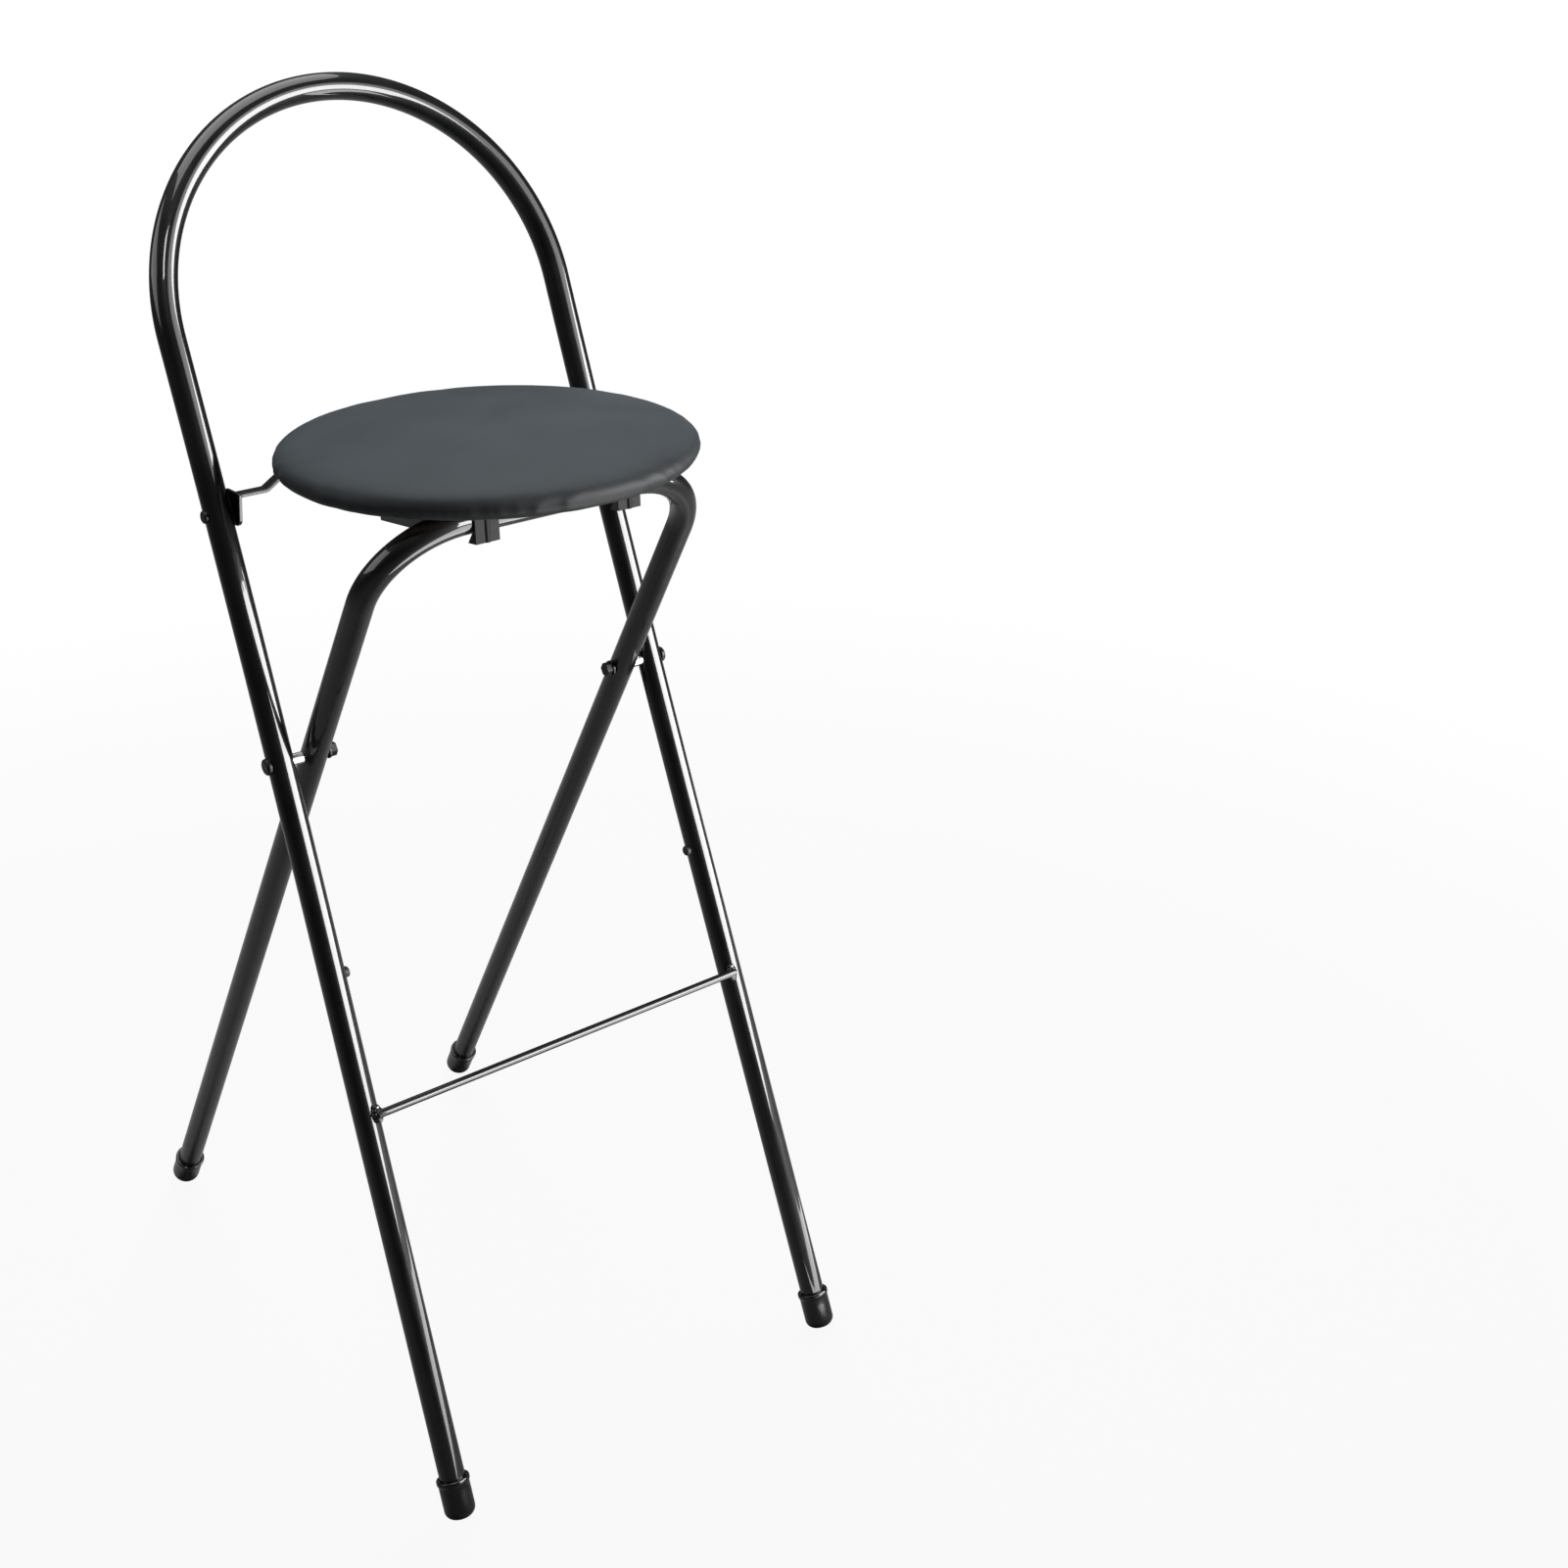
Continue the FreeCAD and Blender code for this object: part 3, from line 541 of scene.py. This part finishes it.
def weld_bead(side, name, mat):
    """Bead where the footrest meets a leg: an ellipsoid whose girth ripples along the leg."""
    x = side * (float(main_half(FOOTREST_U)) - WELD_SHORT)
    u = np.linspace(1, -1, 37)
    turn = turn_angles(40)
    girth = np.sqrt(np.clip(1 - u ** 2, 0.0004, 1)) * (1 + 0.07 * np.cos(u * 15) + 0.05 * np.sin(u * 7 + 1))
    along = np.array([0, math.sin(MAIN_LEAN), math.cos(MAIN_LEAN)])
    ring = WELD_ACROSS * np.cos(turn)[:, None] * [1.0, 0, 0] + WELD_OUT * np.sin(turn)[:, None] * MAIN_OUT
    middle = main_at(x, FOOTREST_U, TUBE_R + WELD_LIFT)
    points = middle + WELD_ALONG * u[:, None, None] * along + girth[:, None, None] * ring
    return mesh_object(name, points, grid_faces(len(u), len(turn)), mat)


def rounded_box(half_a, half_b, radius, steps=4):
    """Closed section of a bar with rounded corners, as (a, b) pairs."""
    turn = np.linspace(0, np.pi / 2, steps)
    inner = np.array([half_a - radius, half_b - radius])
    signs = ((1, 1), (-1, 1), (-1, -1), (1, -1))
    arcs = [inner * sign + radius * np.stack([np.cos(turn + k * np.pi / 2), np.sin(turn + k * np.pi / 2)], -1)
            for k, sign in enumerate(signs)]
    return np.concatenate(arcs)


def hinge_strap(mat):
    """Flat bar with rounded edges: from each ear in, up two easy bends, across under the board."""
    low = SHEET / 2
    slope = math.atan2(BOARD_UP - STRAP_H, KNEE_X - RISE_X)
    shift = low * math.tan(slope / 2)
    corners = [(-EAR_IN, STRAP_H - low), (-KNEE_X - shift, STRAP_H - low), (-RISE_X - shift, BOARD_UP - low),
               (RISE_X + shift, BOARD_UP - low), (KNEE_X + shift, STRAP_H - low), (EAR_IN, STRAP_H - low)]
    line = fillet(corners, [BEND_R + low] * 4)
    path = seat_at(line[:, 0], STRAP_S, line[:, 1])
    across = seat_at(0, 1, 0) - HINGE
    return swept("hinge_strap_look", path, across, rounded_box(STRAP_W / 2, low, STRAP_EDGE), mat)


def plate(name, outline, x0, x1, edge, mat):
    """Sheet cut to a closed (s, h) outline: rings across its thickness, drawn in by the
    edge's quarter round at both faces."""
    outline = np.asarray(outline, float)
    ahead, behind = np.roll(outline, -1, 0), np.roll(outline, 1, 0)
    inward = unit(np.stack([-(ahead - behind)[:, 1], (ahead - behind)[:, 0]], -1))
    turn = np.linspace(0, np.pi / 2, 5)
    draw = edge * (1 - np.sin(turn))
    depth = edge * (1 - np.cos(turn))
    x = np.concatenate([x0 + depth, x1 - depth[::-1]])
    rings = outline + inward * np.concatenate([draw, draw[::-1]])[:, None, None]
    points = seat_at(x[:, None], rings[..., 0], rings[..., 1])[::-1]
    return mesh_object(name, points, grid_faces(len(x), len(outline)), mat)


def hinge_ear(side, name, mat):
    """Ear: four-cornered outline, its seam on the top edge, large rounds but at the upper front."""
    corners = [(EAR_SEAM_S, STRAP_H), (EAR_REAR_S, STRAP_H), (EAR_REAR_S, EAR_LOW_H),
               (EAR_FOOT_S, EAR_LOW_H), (EAR_FRONT_S, STRAP_H), (EAR_SEAM_S, STRAP_H)]
    outline = fillet(corners, [EAR_CORNER_R] * 3 + [EAR_FRONT_R], 9)[:-1]
    x = sorted((side * EAR_IN, side * (EAR_IN + SHEET)))
    return plate(name, outline, x[0], x[1], EAR_EDGE, mat)


def cushion_outline(radius, rise):
    """Radius and height from the underside's middle to the crown: flat underside,
    quarter round, rim arc, and one large arc over the top."""
    a = radius - RIM_R
    lift = rise - RIM_UNDER
    big = (a ** 2 + lift ** 2 - RIM_R ** 2) / (2 * (lift - RIM_R))
    lean = math.asin(a / (big - RIM_R))
    flat = np.stack([np.linspace(2, radius - RIM_UNDER, 22), np.zeros(22)], -1)
    t = np.linspace(-np.pi / 2, 0, 16)[1:]
    low = np.stack([radius - RIM_UNDER + RIM_UNDER * np.cos(t), RIM_UNDER + RIM_UNDER * np.sin(t)], -1)
    t = np.linspace(0, np.pi / 2 - lean, 22)[1:]
    side = np.stack([a + RIM_R * np.cos(t), RIM_UNDER + RIM_R * np.sin(t)], -1)
    t = np.linspace(lean, 0, 36)[1:-1]
    top = np.stack([big * np.sin(t), rise - big * (1 - np.cos(t))], -1)
    return np.concatenate([flat, low, side, top])


def cushion(mat):
    """Cushion turned from its outline a little undersized, blown up as cloth, and then
    stretched so that its widest ring has the seat's radius and its crown the seat's height."""
    outline = cushion_outline(PAD_R - UNDERSIZE, PAD_T + BOARD_T - UNDERSIZE)
    turn = turn_angles(180)
    points = np.stack([
        outline[:, :1] * np.cos(turn), outline[:, :1] * np.sin(turn),
        np.broadcast_to(outline[:, 1:], (len(outline), len(turn)))], -1)
    pad = mesh_object("seat_cushion", points, grid_faces(len(outline), len(turn)), mat)
    blow_up(pad, COVER_MOST * MM)
    spots = read_points(pad.data) / MM
    reach = np.hypot(spots[:, 0], spots[:, 1])
    spots[:, :2] *= PAD_R / np.percentile(reach, 99.9)
    over = np.maximum(np.hypot(spots[:, 0], spots[:, 1]) / (PAD_R + 0.1), 1.0)
    spots[:, :2] /= over[:, None]
    spots[:, 2] = np.clip(spots[:, 2], 0.0, None) * (PAD_T + BOARD_T) / spots[:, 2].max()
    placed = seat_at(spots[:, 0], SEAT_AHEAD + spots[:, 1], BOARD_UP + spots[:, 2])
    write_points(pad.data, placed * MM)
    pad.data.flip_normals()
    smooth_all(pad.data)
    return pad


def read_points(mesh):
    points = np.empty(len(mesh.vertices) * 3)
    mesh.vertices.foreach_get("co", points)
    return points.reshape(-1, 3)


def write_points(mesh, points):
    mesh.vertices.foreach_set("co", np.asarray(points).ravel())
    mesh.update()


def smooth_all(mesh):
    mesh.polygons.foreach_set("use_smooth", np.ones(len(mesh.polygons), bool))


def bake_modifiers(obj):
    """Puts the modifiers' result into the mesh."""
    done = bpy.data.meshes.new_from_object(obj.evaluated_get(bpy.context.evaluated_depsgraph_get()))
    obj.modifiers.clear()
    old = obj.data
    obj.data = done
    bpy.data.meshes.remove(old)


def relax(obj, times):
    smoothing = obj.modifiers.new("relax", "SMOOTH")
    smoothing.factor = 0.5
    smoothing.iterations = times
    bake_modifiers(obj)


def blow_up(pad, most):
    """Even mesh, cloth under air pressure with the underside pinned, no point moved
    further than most, then one subdivision and a light smoothing."""
    mat = pad.data.materials[0]
    even = pad.modifiers.new("even", "REMESH")
    even.mode = "VOXEL"
    even.voxel_size = VOXEL * MM
    bake_modifiers(pad)
    relax(pad, 6)
    start = read_points(pad.data)
    pinned = np.nonzero(start[:, 2] < PINNED_UNDER * MM)[0]
    pad.vertex_groups.new(name="board").add(pinned.tolist(), 1.0, "REPLACE")
    cloth = pad.modifiers.new("cover", "CLOTH")
    cloth.settings.quality = 6
    cloth.settings.mass = 0.4
    cloth.settings.tension_stiffness = 30
    cloth.settings.compression_stiffness = 30
    cloth.settings.bending_stiffness = 6
    cloth.settings.use_pressure = True
    cloth.settings.uniform_pressure_force = 4.0
    cloth.settings.effector_weights.gravity = 0.0
    cloth.settings.vertex_group_mass = "board"
    cloth.point_cache.frame_start = 1
    cloth.point_cache.frame_end = CLOTH_FRAMES
    for step in range(1, CLOTH_FRAMES + 1):
        bpy.context.scene.frame_set(step)
    bake_modifiers(pad)
    bpy.context.scene.frame_set(1)
    move = read_points(pad.data) - start
    length = np.linalg.norm(move, axis=1)
    move *= (np.minimum(length, most) / np.maximum(length, 1e-9))[:, None]
    write_points(pad.data, start + move)
    fine = pad.modifiers.new("fine", "SUBSURF")
    fine.levels = fine.render_levels = 1
    bake_modifiers(pad)
    relax(pad, 24)
    if not pad.data.materials:
        pad.data.materials.append(mat)


def finish(piece, body, slot, *nodes):
    """A finished piece moves with its body and stands for the nodes; the slot argument is not used."""
    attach(piece, body)
    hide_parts(*nodes)


def lamp(name, at, target, size, power, diffuse=True, glossy=True, lying=None):
    """Soft rectangular lamp of the size, aimed at the target, metres and watts. One that
    is not diffuse shows only as a reflection, as a light card does; a lying one faces up,
    its long side turned by that many degrees."""
    light = bpy.data.lights.new(name, "AREA")
    light.shape = "RECTANGLE"
    light.size, light.size_y = size
    light.energy = power
    obj = bpy.data.objects.new(name, light)
    bpy.context.collection.objects.link(obj)
    obj.location = at
    obj.rotation_mode = "QUATERNION"
    obj.rotation_quaternion = (Vector(target) - Vector(at)).to_track_quat("-Z", "Y")
    if lying is not None:
        obj.rotation_quaternion = Euler((math.pi, 0, math.radians(lying))).to_quaternion()
    obj.visible_camera = False
    obj.visible_diffuse = diffuse
    obj.visible_glossy = glossy


def studio():
    """White surround for the camera, a dim one brighter overhead for the rest, and soft lamps."""
    world = bpy.data.worlds.new("studio")
    bpy.context.scene.world = world
    t = Tree(world)
    up = t.parts(t.node("TexCoord", output="Generated"))[2]
    stops = [
        (0.0, (0.03, 0.03, 0.033, 1.0)), (0.45, (0.07, 0.07, 0.077, 1.0)), (1.0, (0.20, 0.21, 0.225, 1.0))]
    tone = t.node("ValToRGB", {"stops": stops}, {0: up})
    dim = t.node("Background", {}, {"Color": tone, "Strength": 1.0})
    white = t.node("Background", {}, {"Color": WHITE, "Strength": 1.0})
    seen, mirrored, through = (t.node("LightPath", output=n) for n in RAYS)
    share = (seen + (mirrored + through) * GLOSSY_WHITE).clip()
    t.node("OutputWorld", {}, {"Surface": t.node("MixShader", {}, {0: share, 1: dim, 2: white})})
    middle = (0, 0, 0.6)
    lamp("window", (1.43, -1.68, 0.86), middle, (2.15, 1.2), 146, diffuse=False)
    lamp("window_top", (1.43, -1.68, 1.80), middle, (2.1, 0.7), 14, diffuse=False)
    lamp("floor_card", (0.62, -1.20, 0.01), middle, (0.7, 1.74), 28, diffuse=False, lying=29.2)
    lamp("overhead", (0, 0.3, 2.6), middle, (2.0, 2.0), 38, diffuse=False)
    lamp("small", (-0.57, -1.40, 2.16), middle, (0.35, 0.35), 6, diffuse=False)
    lamp("left_high", (-2.3, 1.1, 1.9), middle, (2.6, 1.3), 21, diffuse=False)
    lamp("soft_key", (1.0, 1.0, 2.4), middle, (1.5, 1.5), 62, glossy=False)


def floor(mat):
    s, z = FLOOR_HALF, FLOOR_Z
    corners = [(-s, -s, z), (s, -s, z), (s, s, z), (-s, s, z)]
    mesh_object("floor", corners, [(0, 1, 2, 3)], mat, False)


def camera():
    """The photograph's view: 50 mm lens from the front left, a little above the seat."""
    az, el = VIEW_AZ, VIEW_EL
    back = Vector((math.sin(az) * math.cos(el), -math.cos(az) * math.cos(el), math.sin(el)))
    data = bpy.data.cameras.new("view")
    data.lens = VIEW_LENS
    data.sensor_width = VIEW_SENSOR
    data.sensor_fit = "HORIZONTAL"
    data.clip_start, data.clip_end = 0.05, 100.0
    cam = bpy.data.objects.new("view", data)
    bpy.context.collection.objects.link(cam)
    cam.location = VIEW_AT
    cam.rotation_mode = "QUATERNION"
    cam.rotation_quaternion = (-back).to_track_quat("-Z", "Y")
    bpy.context.scene.camera = cam


def dress_frame_nodes(finishes):
    """A finish for every carried-over solid by its slot in the record."""
    for part in frame["record"]["subparts"]:
        name = part["node"]
        mat = finishes[part["material_slot"]]
        if part["material_slot"] == "hardware" and not name.endswith("spacer"):
            mat = finishes["black_hardware"]
        dress(frame["nodes"][name], mat)


def main():
    finishes = {
        "frame_paint": gloss_paint(), "vinyl": slate_vinyl(), "plywood": birch_ply(),
        "hardware": bright_zinc(), "black_hardware": black_zinc(),
        "cap_plastic": cap_plastic(), "bumper_rubber": soft_rubber(),
    }
    paint = finishes["frame_paint"]
    dress_frame_nodes(finishes)
    finish(main_frame(paint), "main_frame", "frame_paint", "main_frame_tube")
    finish(rear_frame(paint), "rear_frame", "frame_paint", "rear_leg_tube")
    finish(footrest(paint), "main_frame", "frame_paint", "footrest_rod")
    finish(hinge_strap(paint), "seat", "frame_paint", "seat_hinge_strap")
    foot_caps(finishes["cap_plastic"])
    for word, side in (("left", -1), ("right", 1)):
        bead = word + "_footrest_weld"
        finish(weld_bead(side, bead + "_look", paint), "main_frame", "frame_paint", bead)
        ear = word + "_hinge_ear"
        finish(hinge_ear(side, ear + "_look", paint), "seat", "frame_paint", ear)
    pad = cushion(finishes["vinyl"])
    finish(pad, "seat", "vinyl", "seat_pad")
    floor(pale_floor())
    studio()
    camera()
    bpy.context.scene.view_settings.view_transform = "Standard"


main()
